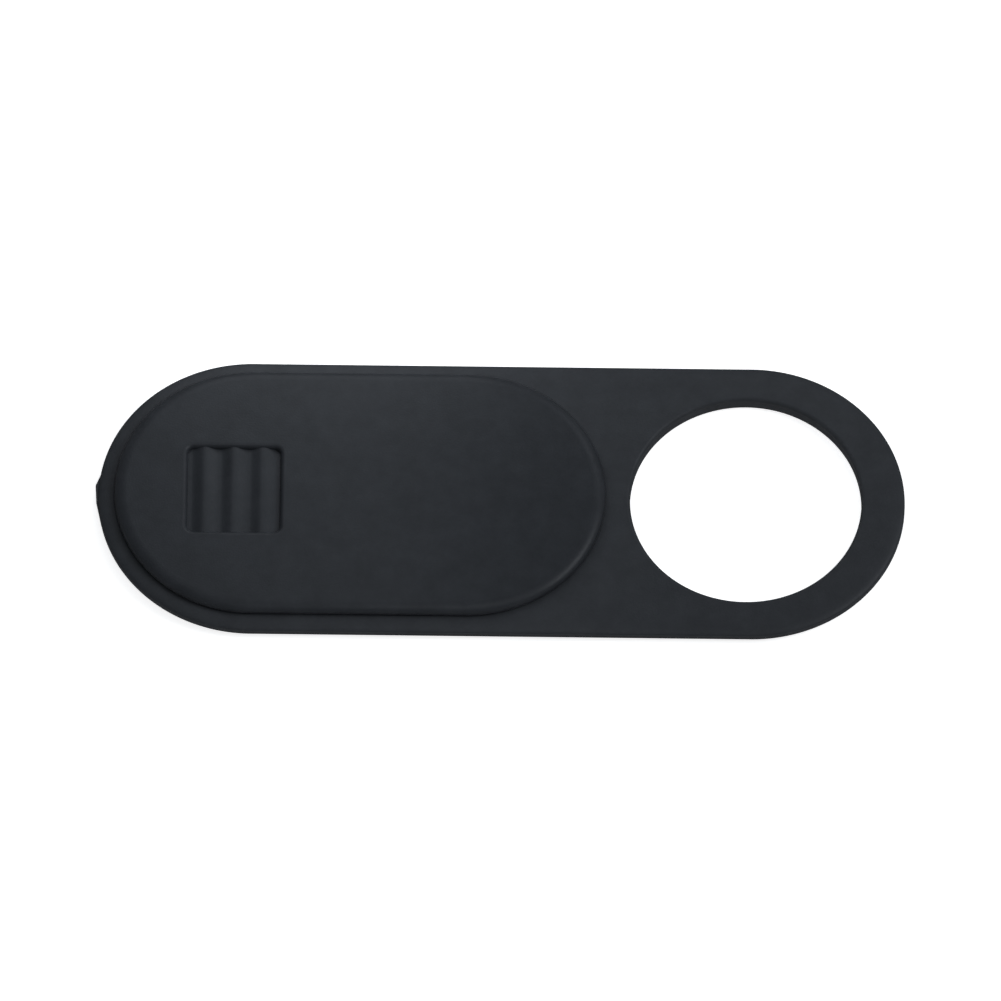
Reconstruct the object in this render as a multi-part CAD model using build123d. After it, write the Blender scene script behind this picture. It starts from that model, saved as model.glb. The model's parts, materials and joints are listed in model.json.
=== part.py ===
from build123d import *
import os

# Webcam cover: a thin pill-shaped base plate with a lens window, and a shutter that slides along it.
# Millimetres. X runs along the plate towards the window, Y across it, Z away from the sticky back.
# The origin is the middle of the sticky face. The shutter is modelled open, at its left stop.

# Lens window, and the plate left around it
window_diameter = 10.9
window_side_wall = 1.8
window_end_wall = 2.05
window_edge_round = 0.18

# Base plate
base_thickness = 0.75
base_side_wall = 0.5  # height at which the rounded top edge starts
base_edge_reach = 1.05  # how far in from the outline the rounded top edge ends
base_lower_bevel = 0.2  # bevel of the bottom edge

# Moulding gate mark on the plate's left tip
gate_width = 1.3
gate_height = 0.3
gate_corner = 0.1
gate_stub = 0.14  # how far it stands proud
gate_root = 0.5  # how far it runs into the plate

# Double-sided tape on the back
tape_thickness = 0.2
tape_inset = 0.6  # from the plate's outline
tape_window_gap = 0.4
tape_track_gap = 0.35

# Shutter
shutter_length = 23.15
shutter_thickness = 0.5
shutter_side_wall = 0.15
shutter_edge_reach = 0.6
shutter_lower_bevel = 0.05
shutter_side_inset = 0.75  # from the plate's long sides
shutter_end_inset = 0.75  # from the plate's tips, at either stop
shutter_window_gap = 1.15  # plate that shows between the open shutter and the window
shutter_lift = 0.05  # running gap under the shutter

# Thumb grip in the shutter's face
grip_setback = 3.25  # from the shutter's left tip
grip_length = 4.75
grip_width = 4.95
grip_corner = 0.3
grip_web = 0.2  # shutter left under the grip
rib_count = 3
rib_pitch = 1.36
rib_width = 0.62
rib_sink = 0.04  # how far a rib's crest stays below the face

# Track in the base plate: a slot for the snap arms, over a wider relief for their barbs
track_width = 2.4
track_corner = 0.3
track_setback = 2.65  # from the open shutter's left tip
track_window_wall = 2.2
ledge_thickness = 0.38

# Snap feet under the shutter: two pairs of arms
foot_length = 1.5
foot_side_gap = 0.06
foot_stop_gap = 0.05
arm_thickness = 0.5
barb_reach = 0.4
barb_thickness = 0.28
barb_lead_in = 0.16
barb_side_gap = 0.15
barb_top_gap = 0.05

# Overall sizes and travel
base_width = window_diameter + 2 * window_side_wall
shutter_width = base_width - 2 * shutter_side_inset
shutter_travel = shutter_window_gap + window_diameter + window_end_wall - shutter_end_inset
base_length = shutter_length + shutter_travel + 2 * shutter_end_inset

# Levels
base_bottom = tape_thickness
base_top = base_bottom + base_thickness
gate_bottom = base_bottom + base_lower_bevel
ledge_bottom = base_top - ledge_thickness
shutter_bottom = base_top + shutter_lift
shutter_top = shutter_bottom + shutter_thickness
grip_floor = shutter_bottom + grip_web
barb_top = ledge_bottom - barb_top_gap
barb_bottom = barb_top - barb_thickness

# Places along X
window_radius = window_diameter / 2
window_x = base_length / 2 - window_end_wall - window_radius
shutter_left = -base_length / 2 + shutter_end_inset
shutter_x = shutter_left + shutter_length / 2
grip_x = shutter_left + grip_setback + grip_length / 2
track_left = shutter_left + track_setback
track_right = window_x - window_radius - track_window_wall
track_x = (track_left + track_right) / 2
track_length = track_right - track_left
rear_foot_x = track_left + foot_stop_gap + foot_length / 2
front_foot_x = track_right - foot_stop_gap - foot_length / 2 - shutter_travel

# Widths across the track
arm_outer = track_width / 2 - foot_side_gap
arm_inner = arm_outer - arm_thickness
barb_outer = arm_outer + barb_reach
ledge_width = barb_outer + barb_side_gap - track_width / 2


# Upright prism of a flat outline between two levels
def prism(outline, low, high):
    return Pos(0, 0, low) * extrude(outline, high - low)


# Pill-shaped plate standing on Z = 0, with a lower bevel, an upright side and a quarter-ellipse top edge
def soft_edge_pill(length, width, thickness, side_wall, edge_reach, lower_bevel):
    radius = width / 2
    flat = radius - edge_reach
    bottom = Line((0, 0), (radius - lower_bevel, 0))
    lower = Line((radius - lower_bevel, 0), (radius, lower_bevel))
    side = Line((radius, lower_bevel), (radius, side_wall))
    edge = EllipticalCenterArc((flat, side_wall), edge_reach, thickness - side_wall, arc_size=90)
    top = Line((flat, thickness), (0, thickness))
    core = Line((0, thickness), (0, 0))
    half_section = Plane.XZ * make_face([bottom, lower, side, edge, top, core])
    across = Rot(0, 0, -90) * half_section
    straight = length - width
    round_end = Pos(straight / 2, 0, 0) * revolve(across, Axis.Z, 180)
    half_bar = extrude(across, straight / 2, dir=(1, 0, 0), both=True)
    bar = half_bar + mirror(half_bar, about=Plane.XZ)
    return bar + round_end + mirror(round_end, about=Plane.YZ)


# Outline of the track, or of a wider cut that follows it
def track_outline(margin):
    length = track_length + 2 * margin
    width = track_width + 2 * margin
    return Pos(track_x, 0) * RectangleRounded(length, width, track_corner + margin)


# Cutter for the window, flared at the top so that the plate's rim is rounded
def window_cutter():
    round_start = base_top - window_edge_round
    flared_radius = window_radius + window_edge_round
    bottom = Line((0, base_bottom), (window_radius, base_bottom))
    wall = Line((window_radius, base_bottom), (window_radius, round_start))
    rim = CenterArc((flared_radius, round_start), window_edge_round, 180, -90)
    top = Line((flared_radius, base_top), (0, base_top))
    core = Line((0, base_top), (0, base_bottom))
    half_section = Plane.XZ * make_face([bottom, wall, rim, top, core])
    return Pos(window_x, 0, 0) * revolve(half_section, Axis.Z)


def make_base_plate():
    pill = soft_edge_pill(
        base_length, base_width, base_thickness, base_side_wall, base_edge_reach, base_lower_bevel
    )
    plate = Pos(0, 0, base_bottom) * pill
    gate_x = -base_length / 2 + (gate_root - gate_stub) / 2
    gate = Pos(gate_x, 0) * RectangleRounded(gate_root + gate_stub, gate_width, gate_corner)
    plate += prism(gate, gate_bottom, gate_bottom + gate_height)
    plate -= window_cutter()
    plate -= prism(track_outline(0), base_bottom, base_top)
    plate -= prism(track_outline(ledge_width), base_bottom, ledge_bottom)
    return plate


def make_adhesive_pad():
    sheet = SlotOverall(base_length - 2 * tape_inset, base_width - 2 * tape_inset)
    sheet -= Pos(window_x, 0) * Circle(window_radius + tape_window_gap)
    sheet -= track_outline(ledge_width + tape_track_gap)
    return prism(sheet, 0, tape_thickness)


# One grip rib: a half-ellipse bar across the recess, joined to both of its long walls
def make_grip_rib():
    rise = shutter_top - grip_floor - rib_sink
    crown = EllipticalCenterArc((0, 0), rib_width / 2, rise, arc_size=180)
    root = Line((-rib_width / 2, 0), (rib_width / 2, 0))
    section = Plane.XZ * make_face([crown, root])
    return Pos(0, 0, grip_floor) * extrude(section, grip_width / 2, both=True)


# A pair of snap arms with a slit between them, each ending in a barb that hooks under the ledge
def make_snap_feet():
    neck = prism(RectangleRounded(foot_length, 2 * arm_outer, track_corner), barb_bottom, shutter_bottom)
    barb_outline = Polyline(
        (-barb_outer, barb_top),
        (barb_outer, barb_top),
        (barb_outer, barb_bottom + barb_lead_in),
        (barb_outer - barb_lead_in, barb_bottom),
        (barb_lead_in - barb_outer, barb_bottom),
        (-barb_outer, barb_bottom + barb_lead_in),
        close=True,
    )
    barbs = extrude(Plane.YZ * make_face(barb_outline), foot_length / 2, both=True)
    slit = prism(Rectangle(foot_length, 2 * arm_inner), barb_bottom, shutter_bottom)
    return neck + barbs - slit


def make_shutter():
    pill = soft_edge_pill(
        shutter_length,
        shutter_width,
        shutter_thickness,
        shutter_side_wall,
        shutter_edge_reach,
        shutter_lower_bevel,
    )
    shutter = Pos(shutter_x, 0, shutter_bottom) * pill
    recess = Pos(grip_x, 0) * RectangleRounded(grip_length, grip_width, grip_corner)
    shutter -= prism(recess, grip_floor, shutter_top)
    first_rib_x = grip_x - (rib_count - 1) / 2 * rib_pitch
    for i in range(rib_count):
        shutter += Pos(first_rib_x + i * rib_pitch, 0, 0) * make_grip_rib()
    for foot_x in (rear_foot_x, front_foot_x):
        shutter += Pos(foot_x, 0, 0) * make_snap_feet()
    return shutter


os.makedirs("parts", exist_ok=True)
export_step(make_base_plate(), "parts/base_plate.step")
export_step(make_adhesive_pad(), "parts/adhesive_pad.step")
export_step(make_shutter(), "parts/shutter.step")
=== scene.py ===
import bpy
import bmesh
import json
import math
from mathutils import Matrix, Vector


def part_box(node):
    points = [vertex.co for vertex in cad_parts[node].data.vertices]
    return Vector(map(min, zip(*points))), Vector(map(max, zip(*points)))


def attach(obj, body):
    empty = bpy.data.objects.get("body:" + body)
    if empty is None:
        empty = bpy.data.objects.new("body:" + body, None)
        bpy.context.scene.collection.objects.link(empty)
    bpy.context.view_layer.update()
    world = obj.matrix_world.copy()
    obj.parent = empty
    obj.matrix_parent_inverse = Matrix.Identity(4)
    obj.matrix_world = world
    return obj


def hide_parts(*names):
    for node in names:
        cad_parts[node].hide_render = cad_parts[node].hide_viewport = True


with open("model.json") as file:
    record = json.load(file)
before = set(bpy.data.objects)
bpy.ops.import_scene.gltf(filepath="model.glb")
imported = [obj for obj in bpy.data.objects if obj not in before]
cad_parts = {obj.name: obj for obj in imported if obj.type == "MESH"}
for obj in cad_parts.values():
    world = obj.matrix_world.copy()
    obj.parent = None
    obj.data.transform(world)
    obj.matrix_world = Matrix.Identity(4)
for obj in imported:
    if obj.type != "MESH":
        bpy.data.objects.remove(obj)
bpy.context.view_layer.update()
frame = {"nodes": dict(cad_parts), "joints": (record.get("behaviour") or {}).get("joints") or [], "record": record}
print("frame loaded:", sorted(frame["nodes"]))

mm = 1000.0  # pieces are modelled in millimetres, then brought to metres
weldGap = 0.001  # points nearer than this are one point
rimSlack = 0.01  # how far off its outline a rim's point may lie when the rim is picked
overcut = 1.0  # how far a cutter runs past the piece that it cuts
uprightShare = 0.99  # an edge this close to upright counts as upright
sharpAngle = math.radians(40)  # edges sharper than this are rounded, and stay crisp in the shading
flatWeight = 100  # large flat faces decide the shading of the small ones beside them
baseLow, baseHigh = (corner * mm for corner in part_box("base_plate"))
shutterLow, shutterHigh = (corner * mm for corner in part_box("shutter"))
mounts = {mount["name"]: mount for mount in frame["record"]["mounts"]}
travel = frame["joints"][0]["range_m"][1] * mm


# helpers for edit mode, blocks, cuts and edges

def startEdit(piece):
    bpy.ops.object.select_all(action="DESELECT")
    piece.select_set(True)
    bpy.context.view_layer.objects.active = piece
    bpy.ops.object.mode_set(mode="EDIT")
    bpy.ops.mesh.select_all(action="DESELECT")


def endEdit():
    bpy.ops.mesh.select_all(action="SELECT")
    bpy.ops.mesh.normals_make_consistent(inside=False)
    bpy.ops.object.mode_set(mode="OBJECT")


def pick(kind, test):  # select verts, edges or faces of the mesh in edit mode by a test
    bpy.ops.mesh.select_mode(type=kind)
    bpy.ops.mesh.select_all(action="DESELECT")
    mesh = bpy.context.object.data
    work = bmesh.from_edit_mesh(mesh)
    group = {"VERT": work.verts, "EDGE": work.edges, "FACE": work.faces}[kind]
    for element in group:
        if test(element):
            element.select_set(True)
    work.select_flush_mode()
    bmesh.update_edit_mesh(mesh)


def isUpright(edge):
    run = edge.verts[1].co - edge.verts[0].co
    return abs(run.z) > uprightShare * run.length


def addBox(name, low, high):
    bpy.ops.object.select_all(action="DESELECT")
    low, high = Vector(low), Vector(high)
    bpy.ops.mesh.primitive_cube_add(size=1, location=(low + high) / 2, scale=high - low)
    bpy.ops.object.transform_apply(location=True, rotation=True, scale=True)
    block = bpy.context.object
    block.name = name
    return block


def addRoundedBox(name, low, high, corner, steps=8):  # a block with its upright edges rounded
    block = addBox(name, low, high)
    startEdit(block)
    pick("EDGE", isUpright)
    bpy.ops.mesh.bevel(offset=corner, segments=steps, affect="EDGES")
    endEdit()
    return block


def combine(piece, other, operation):  # cut or join the other one, and weld what that leaves
    boolean = piece.modifiers.new(other.name, "BOOLEAN")
    boolean.operation = operation
    boolean.solver = "EXACT"
    boolean.object = other
    bpy.context.view_layer.objects.active = piece
    bpy.ops.object.modifier_apply(modifier=boolean.name)
    bpy.data.objects.remove(other)
    startEdit(piece)
    bpy.ops.mesh.select_all(action="SELECT")
    bpy.ops.mesh.remove_doubles(threshold=weldGap)
    bpy.ops.mesh.dissolve_degenerate(threshold=weldGap)
    endEdit()


def soften(piece, edgeRound, edgeSteps):  # rounds the sharp edges that the piece has so far
    bevel = piece.modifiers.new("softEdges", "BEVEL")
    bevel.width = edgeRound
    bevel.segments = edgeSteps
    bevel.limit_method = "ANGLE"
    bevel.angle_limit = sharpAngle
    bevel.use_clamp_overlap = True
    bpy.context.view_layer.objects.active = piece
    bpy.ops.object.modifier_apply(modifier=bevel.name)


def finishPiece(piece, body, node):  # shading, metres, and the solid that it stands in for
    bpy.ops.object.select_all(action="DESELECT")
    piece.select_set(True)
    bpy.context.view_layer.objects.active = piece
    bpy.ops.object.shade_smooth_by_angle(angle=sharpAngle)
    weighted = piece.modifiers.new("flatNormals", "WEIGHTED_NORMAL")
    weighted.weight = flatWeight
    weighted.keep_sharp = True
    bpy.ops.object.modifier_apply(modifier=weighted.name)
    piece.scale = (1 / mm, 1 / mm, 1 / mm)
    bpy.ops.object.transform_apply(location=True, rotation=True, scale=True)
    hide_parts(node)
    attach(piece, body)


# a pill-shaped plate: circle pulled into a pill, side wall extruded, top edge rolled over by insets

def addPill(name, centreX, length, width, low, high, shape):
    radius = width / 2
    count = shape["outlinePoints"]
    bpy.ops.object.select_all(action="DESELECT")
    bpy.ops.mesh.primitive_circle_add(
        vertices=count,
        radius=radius / math.cos(math.pi / count),
        fill_type="NGON",
        location=(0, 0, low),
        rotation=(0, 0, math.pi / count),
    )
    bpy.ops.object.transform_apply(location=True, rotation=True, scale=True)
    pill = bpy.context.object
    pill.name = name
    startEdit(pill)
    for side in (1, -1):
        pick("VERT", lambda vert: vert.co.x * side > 0)
        bpy.ops.transform.translate(value=(side * (length - width) / 2, 0, 0))
    bpy.ops.mesh.select_mode(type="FACE")
    bpy.ops.mesh.select_all(action="SELECT")
    bpy.ops.transform.translate(value=(centreX, 0, 0))
    bpy.ops.mesh.extrude_region_move(TRANSFORM_OT_translate={"value": (0, 0, shape["sideWall"])})
    pick("EDGE", lambda edge: all(abs(vert.co.z - low) < weldGap for vert in edge.verts))
    bpy.ops.mesh.bevel(offset=shape["lowerBevel"], segments=1, affect="EDGES")
    pick("FACE", lambda face: face.calc_center_median().z > low + shape["sideWall"] - weldGap)
    reach = shape["edgeReach"]
    rise = high - low - shape["sideWall"]
    steps = shape["edgeSteps"]
    lastIn, lastUp = 0.0, 0.0
    for step in range(1, steps + 1):
        tilt = math.pi / 2 * step / steps
        turn = math.atan2(rise * math.sin(tilt), reach * math.cos(tilt))
        goneIn, goneUp = reach * (1 - math.cos(turn)), rise * math.sin(turn)
        bpy.ops.mesh.inset(thickness=goneIn - lastIn, depth=goneUp - lastUp, use_even_offset=True)
        lastIn, lastUp = goneIn, goneUp
    endEdit()
    return pill


# base plate

baseShape = {
    "outlinePoints": 192,
    "sideWall": 0.5,
    "edgeReach": 1.05,
    "edgeSteps": 14,
    "lowerBevel": 0.2,
    "windowRound": 0.18,
    "windowRoundSteps": 6,
    "windowPoints": 128,
    "windowCut": 4.0,  # length of the cutter
    "edgeRound": 0.05,
    "edgeRoundSteps": 3,
}

gateShape = {  # places are along Y
    "height": 0.28,
    "lift": 0.21,
    "root": 0.5,  # how far it runs into the plate
    "far": 2.17,  # where its steep side leaves the root
    "crest": 0.57,  # where it stands out furthest
    "shoulder": -0.3,
    "near": -1.6,  # where it has died away into the plate
    "shoulderDrop": 0.045,  # how far it has sunk back from its crest
    "nearDrop": 0.315,
}

trackShape = {
    "width": 2.4,
    "corner": 0.3,
    "setback": 2.65,  # from the open shutter's left tip
    "windowWall": 2.2,
    "ledgeThickness": 0.38,
    "ledgeWidth": 0.49,
}

windowRadius = mounts["lens_window"]["dims"]["r_mm"]
windowX = mounts["lens_window"]["pos_m"][0] * mm
baseLength = 2 * baseHigh.x
baseTop = baseHigh.z
gateBottom = baseLow.z + gateShape["lift"]
trackLeft = shutterLow.x + trackShape["setback"]
trackRight = windowX - windowRadius - trackShape["windowWall"]
ledgeBottom = baseTop - trackShape["ledgeThickness"]


def trackCutter(name, margin, low, high):  # the track's outline, or a wider one that follows it
    halfWidth = trackShape["width"] / 2 + margin
    return addRoundedBox(
        name,
        (trackLeft - margin, -halfWidth, low),
        (trackRight + margin, halfWidth, high),
        trackShape["corner"] + margin,
    )


def addGateMark():  # a nub that rises steeply on its far side and fades out towards the near one
    near, shoulder, far = gateShape["near"], gateShape["shoulder"], gateShape["far"]
    rootX = -baseLength / 2 + gateShape["root"]
    gate = addBox("gateMark", (baseLow.x, near, gateBottom), (rootX, far, gateBottom + gateShape["height"]))
    startEdit(gate)
    bpy.ops.mesh.select_all(action="SELECT")
    bpy.ops.mesh.bisect(plane_co=(0, shoulder, 0), plane_no=(0, 1, 0))
    moves = (
        (far, (0, gateShape["crest"] - far, 0)),
        (shoulder, (gateShape["shoulderDrop"], 0, 0)),
        (near, (gateShape["nearDrop"], 0, 0)),
    )
    for place, move in moves:
        pick("VERT", lambda vert: vert.co.x < baseLow.x + weldGap and abs(vert.co.y - place) < weldGap)
        bpy.ops.transform.translate(value=move)
    endEdit()
    soften(gate, baseShape["edgeRound"], baseShape["edgeRoundSteps"])
    return gate


def isWindowRim(edge):  # an edge of the window at the level of the plate's face
    return all(
        abs(vert.co.z - baseTop) < weldGap
        and abs(math.hypot(vert.co.x - windowX, vert.co.y) - windowRadius) < rimSlack
        for vert in edge.verts
    )


def buildBase():
    base = addPill("basePlate", 0, baseLength, 2 * baseHigh.y, baseLow.z, baseTop, baseShape)
    bpy.ops.object.select_all(action="DESELECT")
    bpy.ops.mesh.primitive_cylinder_add(
        vertices=baseShape["windowPoints"],
        radius=windowRadius,
        depth=baseShape["windowCut"],
        location=(windowX, 0, baseTop),
    )
    combine(base, bpy.context.object, "DIFFERENCE")
    startEdit(base)
    pick("EDGE", isWindowRim)
    bpy.ops.mesh.bevel(
        offset=baseShape["windowRound"], segments=baseShape["windowRoundSteps"], affect="EDGES"
    )
    endEdit()
    slot = trackCutter("slot", 0, baseLow.z - overcut, baseTop + overcut)
    combine(base, slot, "DIFFERENCE")
    relief = trackCutter("relief", trackShape["ledgeWidth"], baseLow.z - overcut, ledgeBottom)
    combine(base, relief, "DIFFERENCE")
    soften(base, baseShape["edgeRound"], baseShape["edgeRoundSteps"])
    combine(base, addGateMark(), "UNION")
    finishPiece(base, "base", "base_plate")
    return base


# shutter

shutterShape = {
    "outlinePoints": 192,
    "thickness": 0.5,
    "sideWall": 0.15,
    "edgeReach": 0.6,
    "edgeSteps": 12,
    "lowerBevel": 0.05,
    "edgeRound": 0.015,
    "edgeRoundSteps": 2,
}

gripShape = {
    "setback": 3.25,  # from the shutter's left tip
    "length": 4.75,
    "width": 4.95,
    "corner": 0.3,
    "web": 0.2,  # shutter left under the recess
    "wallRun": 0.2,  # how far the foot of the recess wall lies inside its opening
    "rimRound": 0.24,
    "rimSteps": 8,
    "padSink": 0.05,  # how far the ribbed floor runs into the web under it
    "padReach": 0.15,  # how far it runs into the walls around it
    "padSteps": 160,
    "ribCount": 3,
    "ribPitch": 1.36,
    "ribReach": 0.66,  # from the crest to where the rib has died away into the floor
    "ribSink": 0.11,
}

footShape = {
    "length": 1.5,
    "sideGap": 0.06,
    "stopGap": 0.05,
    "armThickness": 0.5,
    "barbReach": 0.4,
    "barbThickness": 0.28,
    "leadIn": 0.16,
    "cornerSteps": 8,
    "rootDepth": 0.05,  # how far an arm runs up into the shutter
    "edgeRound": 0.03,
    "edgeRoundSteps": 2,
}

shutterTop = shutterHigh.z
shutterBottom = shutterTop - shutterShape["thickness"]
shutterLength = shutterHigh.x - shutterLow.x
gripX = shutterLow.x + gripShape["setback"] + gripShape["length"] / 2
gripFloor = shutterBottom + gripShape["web"]


def isGripRim(edge):  # an edge of the recess at the level of the shutter's face
    return all(
        abs(vert.co.z - shutterTop) < weldGap
        and abs(vert.co.x - gripX) < gripShape["length"] / 2 + rimSlack
        and abs(vert.co.y) < gripShape["width"] / 2 + rimSlack
        for vert in edge.verts
    )


def addRibbedPad(halfLength, halfWidth, low):  # floor of the recess, its ribs drawn up out of a fine grid
    bpy.ops.object.select_all(action="DESELECT")
    bpy.ops.mesh.primitive_grid_add(
        x_subdivisions=gripShape["padSteps"],
        y_subdivisions=1,
        size=1,
        location=(gripX, 0, gripFloor),
    )
    pad = bpy.context.object
    pad.scale = (2 * halfLength, 2 * halfWidth, 1)
    bpy.ops.object.transform_apply(location=True, rotation=True, scale=True)
    pad.name = "gripPad"
    halfStep = halfLength / gripShape["padSteps"]
    startEdit(pad)
    for index in range(gripShape["ribCount"]):
        ribX = gripX + (index - (gripShape["ribCount"] - 1) / 2) * gripShape["ribPitch"]
        pick("VERT", lambda vert: abs(vert.co.x - ribX) < halfStep)
        bpy.ops.transform.translate(
            value=(0, 0, shutterTop - gripFloor - gripShape["ribSink"]),
            use_proportional_edit=True,
            proportional_edit_falloff="SMOOTH",
            proportional_size=gripShape["ribReach"],
        )
    bpy.ops.mesh.select_mode(type="FACE")
    bpy.ops.mesh.select_all(action="SELECT")
    bpy.ops.mesh.extrude_region_move(TRANSFORM_OT_translate={"value": (0, 0, low - gripFloor)})
    bpy.ops.transform.resize(value=(1, 1, 0), center_override=(gripX, 0, low))  # flat underside
    endEdit()
    return pad


def addSnapArm():  # an arm with rounded outer corners, on a barb with a lead-in
    outer = trackShape["width"] / 2 - footShape["sideGap"]
    inner = outer - footShape["armThickness"]
    tip = outer + footShape["barbReach"]
    barbTop = shutterLow.z + footShape["barbThickness"]
    armTop = shutterBottom + footShape["rootDepth"]
    halfLength = footShape["length"] / 2
    arm = addBox("snapArm", (-halfLength, inner, shutterLow.z), (halfLength, outer, armTop))
    startEdit(arm)
    pick("EDGE", lambda edge: isUpright(edge) and edge.verts[0].co.y > outer - weldGap)
    bpy.ops.mesh.bevel(offset=trackShape["corner"], segments=footShape["cornerSteps"], affect="EDGES")
    endEdit()
    barb = addBox("barb", (-halfLength, inner, shutterLow.z), (halfLength, tip, barbTop))
    startEdit(barb)
    pick("EDGE", lambda edge: all(
        vert.co.y > tip - weldGap and vert.co.z < shutterLow.z + weldGap for vert in edge.verts
    ))
    bpy.ops.mesh.bevel(offset=footShape["leadIn"], segments=1, affect="EDGES")
    endEdit()
    combine(arm, barb, "UNION")
    soften(arm, footShape["edgeRound"], footShape["edgeRoundSteps"])
    return arm


def copyArm(arm, footX, side):  # a copy in its place, on the far or the near side of the track
    bpy.ops.object.select_all(action="DESELECT")
    arm.select_set(True)
    bpy.context.view_layer.objects.active = arm
    bpy.ops.object.duplicate(linked=False)
    copy = bpy.context.object
    startEdit(copy)
    bpy.ops.mesh.select_all(action="SELECT")
    bpy.ops.transform.resize(value=(1, side, 1), center_override=(0, 0, 0))
    bpy.ops.transform.translate(value=(footX, 0, 0))
    endEdit()
    return copy


def buildShutter():
    centreX = (shutterLow.x + shutterHigh.x) / 2
    shutter = addPill(
        "shutterPlate", centreX, shutterLength, 2 * shutterHigh.y, shutterBottom, shutterTop, shutterShape
    )
    soften(shutter, shutterShape["edgeRound"], shutterShape["edgeRoundSteps"])
    halfLength = gripShape["length"] / 2 - gripShape["wallRun"]
    halfWidth = gripShape["width"] / 2 - gripShape["wallRun"]
    sink, reach = gripShape["padSink"], gripShape["padReach"]
    recess = addRoundedBox(
        "gripRecess",
        (gripX - halfLength, -halfWidth, gripFloor - sink),
        (gripX + halfLength, halfWidth, shutterTop + overcut),
        gripShape["corner"],
    )
    combine(shutter, recess, "DIFFERENCE")
    startEdit(shutter)
    pick("EDGE", isGripRim)
    bpy.ops.mesh.bevel(offset=gripShape["rimRound"], segments=gripShape["rimSteps"], affect="EDGES")
    endEdit()
    combine(shutter, addRibbedPad(halfLength + reach, halfWidth + reach, gripFloor - 2 * sink), "UNION")
    rearX = trackLeft + footShape["stopGap"] + footShape["length"] / 2
    frontX = trackRight - footShape["stopGap"] - footShape["length"] / 2 - travel
    arm = addSnapArm()
    for footX in (rearX, frontX):
        for side in (1, -1):
            combine(shutter, copyArm(arm, footX, side), "UNION")
    bpy.data.objects.remove(arm)
    finishPiece(shutter, "slide", "shutter")
    return shutter


basePlate = buildBase()
print("base plate:", len(basePlate.data.polygons), "faces")
shutterPlate = buildShutter()
print("shutter:", len(shutterPlate.data.polygons), "faces")


# materials

basePlastic = {
    "dark": (0.0256, 0.0280, 0.0318, 1),
    "light": (0.0332, 0.0361, 0.0408, 1),
    "specular": 0.2,
    "roughLow": 0.46,
    "roughHigh": 0.56,
    "grain": 0.00012,
    "grainDepth": 0.000008,
}

shutterPlastic = {
    "dark": (0.0220, 0.0242, 0.0277, 1),
    "light": (0.0282, 0.0309, 0.0354, 1),
    "specular": 0.14,
    "roughLow": 0.32,
    "roughHigh": 0.40,
    "grain": 0.0001,
    "grainDepth": 0.000006,
}

tapeFinish = {
    "dark": (0.018, 0.018, 0.019, 1),
    "light": (0.032, 0.032, 0.034, 1),
    "specular": 0.4,
    "roughLow": 0.25,
    "roughHigh": 0.5,
    "grain": 0.00025,
    "grainDepth": 0.000006,
}

surfaceNoise = {  # shared by all three finishes
    "mottleScale": 900,
    "mottleDetail": 8,
    "mottleRoughness": 0.65,
    "grainDetail": 2,
    "noiseLow": 0.3,
    "noiseHigh": 0.7,
}


def surface(name, look):  # mottled colour, uneven gloss and a fine grain, all on Object coordinates
    material = bpy.data.materials.new(name)
    material.use_nodes = True
    nodes, links = material.node_tree.nodes, material.node_tree.links
    shader = nodes["Principled BSDF"]
    shader.inputs["Specular IOR Level"].default_value = look["specular"]
    place = nodes.new("ShaderNodeTexCoord")
    mottle = nodes.new("ShaderNodeTexNoise")
    mottle.inputs["Scale"].default_value = surfaceNoise["mottleScale"]
    mottle.inputs["Detail"].default_value = surfaceNoise["mottleDetail"]
    mottle.inputs["Roughness"].default_value = surfaceNoise["mottleRoughness"]
    grain = nodes.new("ShaderNodeTexNoise")
    grain.inputs["Scale"].default_value = 1 / look["grain"]
    grain.inputs["Detail"].default_value = surfaceNoise["grainDetail"]
    colours = nodes.new("ShaderNodeValToRGB")
    colours.color_ramp.elements[0].position = surfaceNoise["noiseLow"]
    colours.color_ramp.elements[0].color = look["dark"]
    colours.color_ramp.elements[1].position = surfaceNoise["noiseHigh"]
    colours.color_ramp.elements[1].color = look["light"]
    gloss = nodes.new("ShaderNodeMapRange")
    gloss.inputs["From Min"].default_value = surfaceNoise["noiseLow"]
    gloss.inputs["From Max"].default_value = surfaceNoise["noiseHigh"]
    gloss.inputs["To Min"].default_value = look["roughLow"]
    gloss.inputs["To Max"].default_value = look["roughHigh"]
    bump = nodes.new("ShaderNodeBump")
    bump.inputs["Strength"].default_value = 1
    bump.inputs["Distance"].default_value = look["grainDepth"]
    for noise in (mottle, grain):
        links.new(place.outputs["Object"], noise.inputs["Vector"])
    links.new(mottle.outputs["Fac"], colours.inputs["Fac"])
    links.new(colours.outputs["Color"], shader.inputs["Base Color"])
    links.new(grain.outputs["Fac"], gloss.inputs["Value"])
    links.new(gloss.outputs["Result"], shader.inputs["Roughness"])
    links.new(grain.outputs["Fac"], bump.inputs["Height"])
    links.new(bump.outputs["Normal"], shader.inputs["Normal"])
    return material


def dress(piece, material):
    piece.data.materials.clear()
    piece.data.materials.append(material)


dress(basePlate, surface("mouldedBase", basePlastic))
dress(shutterPlate, surface("mouldedShutter", shutterPlastic))
dress(frame["nodes"]["adhesive_pad"], surface("stickyTape", tapeFinish))
print("materials done")


# floor, light and camera

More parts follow.
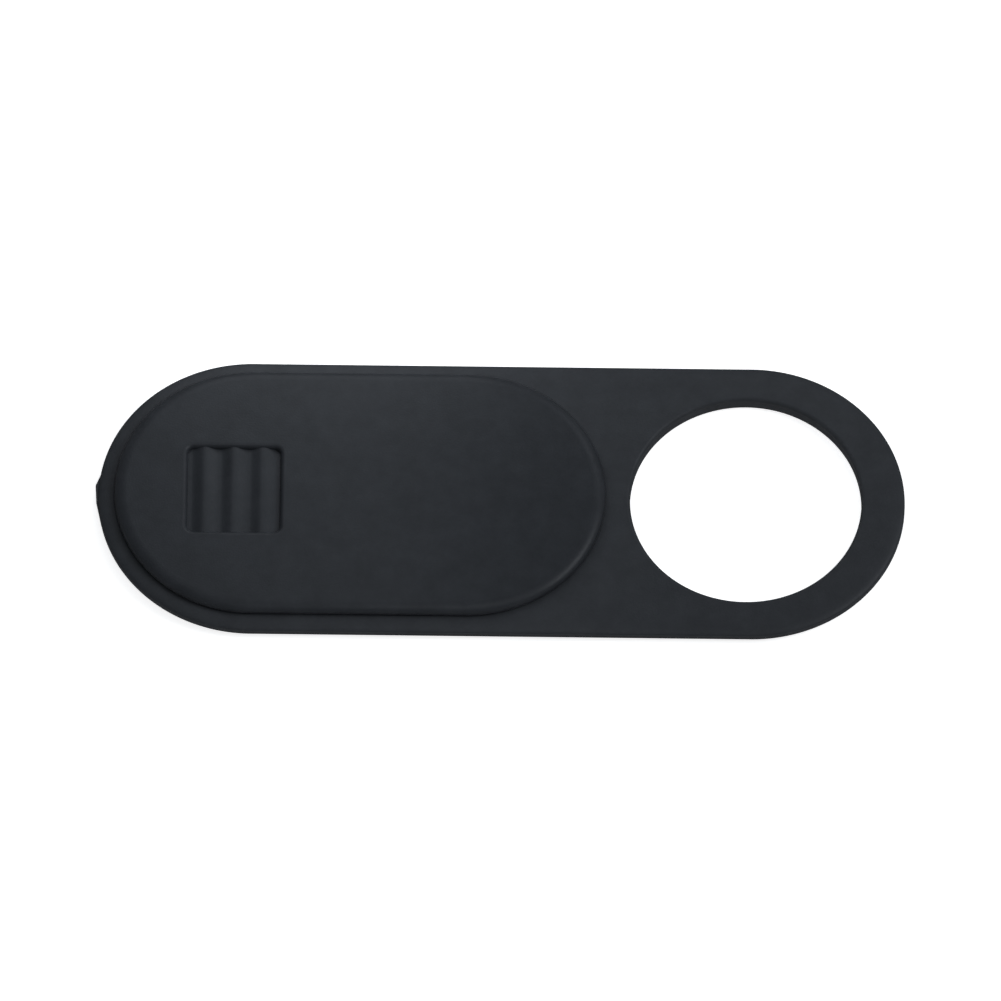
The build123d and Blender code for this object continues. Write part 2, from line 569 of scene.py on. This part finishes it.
stageLook = {
    "floorSize": 4.0,
    "floorDrop": 0.00002,  # keeps the floor off the tape's own face
    "floorColour": (0.8, 0.8, 0.8, 1),
    "floorRoughness": 0.9,
    "floorGlow": 0.8,  # the floor shines by itself, so that it looks white
    "glowColour": (1, 1, 1, 1),
    "backdrop": 0.9,  # what the camera sees past the floor, or through it from below
    "skyColour": (0.96, 1.0, 1.05, 1),  # cool daylight
    "skyAxis": (0.5, 0.2, 0.84),  # the room is brighter overhead and to the right
    "skyDim": 0.11,
    "skyBright": 0.2,
    "skyDimEnd": -0.2,  # the room is dim up to here along that axis
    "skyBrightStart": 0.5,  # and bright from here on
}

lights = {  # two large lamps far off, and small panels close by that shade the part from side to side
    "key": {"place": (0.177, -0.009, 0.177), "aim": (0, 0, 0), "size": (0.14, 0.11), "power": 0.205},
    "front": {"place": (0.0, -0.086, 0.235), "aim": (0, 0, 0), "size": (0.12, 0.12), "power": 0.035},
    "nearPanel": {
        "place": (0.0, -0.009, 0.02),
        "aim": (0.0, -0.009, 0),
        "size": (0.014, 0.006),
        "power": 0.00025,
    },
    "leftPanel": {
        "place": (-0.011, 0.010, 0.0165),
        "aim": (-0.011, 0.010, 0),
        "size": (0.018, 0.03),
        "power": 0.001,
    },
    "backPanel": {
        "place": (-0.008, 0.022, 0.0135),
        "aim": (-0.008, 0.022, 0),
        "size": (0.018, 0.02),
        "power": 0.0016,
    },
    "rightPanel": {
        "place": (0.016, 0.025, 0.025),
        "aim": (0.016, 0.025, 0),
        "size": (0.018, 0.016),
        "power": 0.0014,
    },
}

cameraLook = {
    "lens": 1000.0,
    "sensor": 36.0,
    "tilt": 29.9,  # degrees off the face's normal
    "roll": 0.65,
    "pixelsPerMm": 21.22,
    "imageSide": 1001,
    "originPixel": (501.6, 505.2),  # where the middle of the plate's underside falls
    "nearClip": 0.01,
    "farClip": 20.0,
}


def buildFloor():
    bpy.ops.object.select_all(action="DESELECT")
    floorPlace = (0, 0, -stageLook["floorDrop"])
    bpy.ops.mesh.primitive_plane_add(size=stageLook["floorSize"], location=floorPlace)
    floor = bpy.context.object
    floor.name = "floor"
    paint = bpy.data.materials.new("paleFloor")
    paint.use_nodes = True
    nodes, links = paint.node_tree.nodes, paint.node_tree.links
    shader = nodes["Principled BSDF"]
    shader.inputs["Base Color"].default_value = stageLook["floorColour"]
    shader.inputs["Roughness"].default_value = stageLook["floorRoughness"]
    shader.inputs["Emission Color"].default_value = stageLook["glowColour"]
    shader.inputs["Emission Strength"].default_value = stageLook["floorGlow"]
    facing = nodes.new("ShaderNodeNewGeometry")  # from below, the floor lets the back of the part show
    clear = nodes.new("ShaderNodeBsdfTransparent")
    fromBelow = nodes.new("ShaderNodeMixShader")
    links.new(facing.outputs["Backfacing"], fromBelow.inputs[0])
    links.new(shader.outputs[0], fromBelow.inputs[1])
    links.new(clear.outputs[0], fromBelow.inputs[2])
    links.new(fromBelow.outputs[0], nodes["Material Output"].inputs["Surface"])
    paint.cycles.emission_sampling = "NONE"  # so wide a glow needs no sampling of its own
    floor.data.materials.append(paint)
    floor.visible_glossy = False


def buildRoom():  # soft light all round, and a pale backdrop for the camera alone
    world = bpy.data.worlds.new("softRoom")
    world.use_nodes = True
    nodes, links = world.node_tree.nodes, world.node_tree.links
    sky = nodes["Background"]
    sky.inputs["Color"].default_value = stageLook["skyColour"]
    direction = nodes.new("ShaderNodeTexCoord")
    along = nodes.new("ShaderNodeVectorMath")
    along.operation = "DOT_PRODUCT"
    along.inputs[1].default_value = stageLook["skyAxis"]
    fade = nodes.new("ShaderNodeMapRange")
    fade.inputs["From Min"].default_value = stageLook["skyDimEnd"]
    fade.inputs["From Max"].default_value = stageLook["skyBrightStart"]
    fade.inputs["To Min"].default_value = stageLook["skyDim"]
    fade.inputs["To Max"].default_value = stageLook["skyBright"]
    links.new(direction.outputs["Generated"], along.inputs[0])
    links.new(along.outputs["Value"], fade.inputs["Value"])
    links.new(fade.outputs["Result"], sky.inputs["Strength"])
    backdrop = nodes.new("ShaderNodeBackground")
    backdrop.inputs["Strength"].default_value = stageLook["backdrop"]
    ray = nodes.new("ShaderNodeLightPath")
    seen = nodes.new("ShaderNodeMixShader")
    links.new(ray.outputs["Is Camera Ray"], seen.inputs[0])
    links.new(sky.outputs[0], seen.inputs[1])
    links.new(backdrop.outputs[0], seen.inputs[2])
    links.new(seen.outputs[0], nodes["World Output"].inputs["Surface"])
    bpy.context.scene.world = world


def buildLights():
    for name, look in lights.items():
        data = bpy.data.lights.new(name, "AREA")
        data.shape = "RECTANGLE"
        data.size, data.size_y = look["size"]
        data.energy = look["power"]
        data.color = stageLook["skyColour"][:3]
        lamp = bpy.data.objects.new(name, data)
        bpy.context.scene.collection.objects.link(lamp)
        lamp.location = look["place"]
        toAim = Vector(look["aim"]) - Vector(look["place"])
        lamp.rotation_euler = toAim.to_track_quat("-Z", "Y").to_euler()
        lamp.visible_camera = False


def buildCamera():
    data = bpy.data.cameras.new("photoCamera")
    data.lens = cameraLook["lens"]
    data.sensor_width = cameraLook["sensor"]
    camera = bpy.data.objects.new("photoCamera", data)
    bpy.context.scene.collection.objects.link(camera)
    tilt, roll = math.radians(cameraLook["tilt"]), math.radians(cameraLook["roll"])
    back = Vector((0, -math.sin(tilt), math.cos(tilt)))
    level = Vector((1, 0, 0))
    rise = back.cross(level)
    right = math.cos(roll) * level + math.sin(roll) * rise
    up = back.cross(right)
    pixel = 1 / cameraLook["pixelsPerMm"] / mm
    middlePixel = cameraLook["imageSide"] / 2
    across = (cameraLook["originPixel"][0] - middlePixel) * pixel
    down = (cameraLook["originPixel"][1] - middlePixel) * pixel
    aim = Vector((0, 0, baseLow.z / mm)) - across * right + down * up
    viewWidth = cameraLook["imageSide"] * pixel
    distance = viewWidth * cameraLook["lens"] / cameraLook["sensor"]
    spot = aim + distance * back
    camera.matrix_world = Matrix.Translation(spot) @ Matrix((right, up, back)).transposed().to_4x4()
    data.clip_start, data.clip_end = cameraLook["nearClip"], cameraLook["farClip"]
    bpy.context.scene.camera = camera


buildFloor()
buildRoom()
buildLights()
buildCamera()
bpy.context.scene.view_settings.view_transform = "Standard"
print("stage, light and camera done")
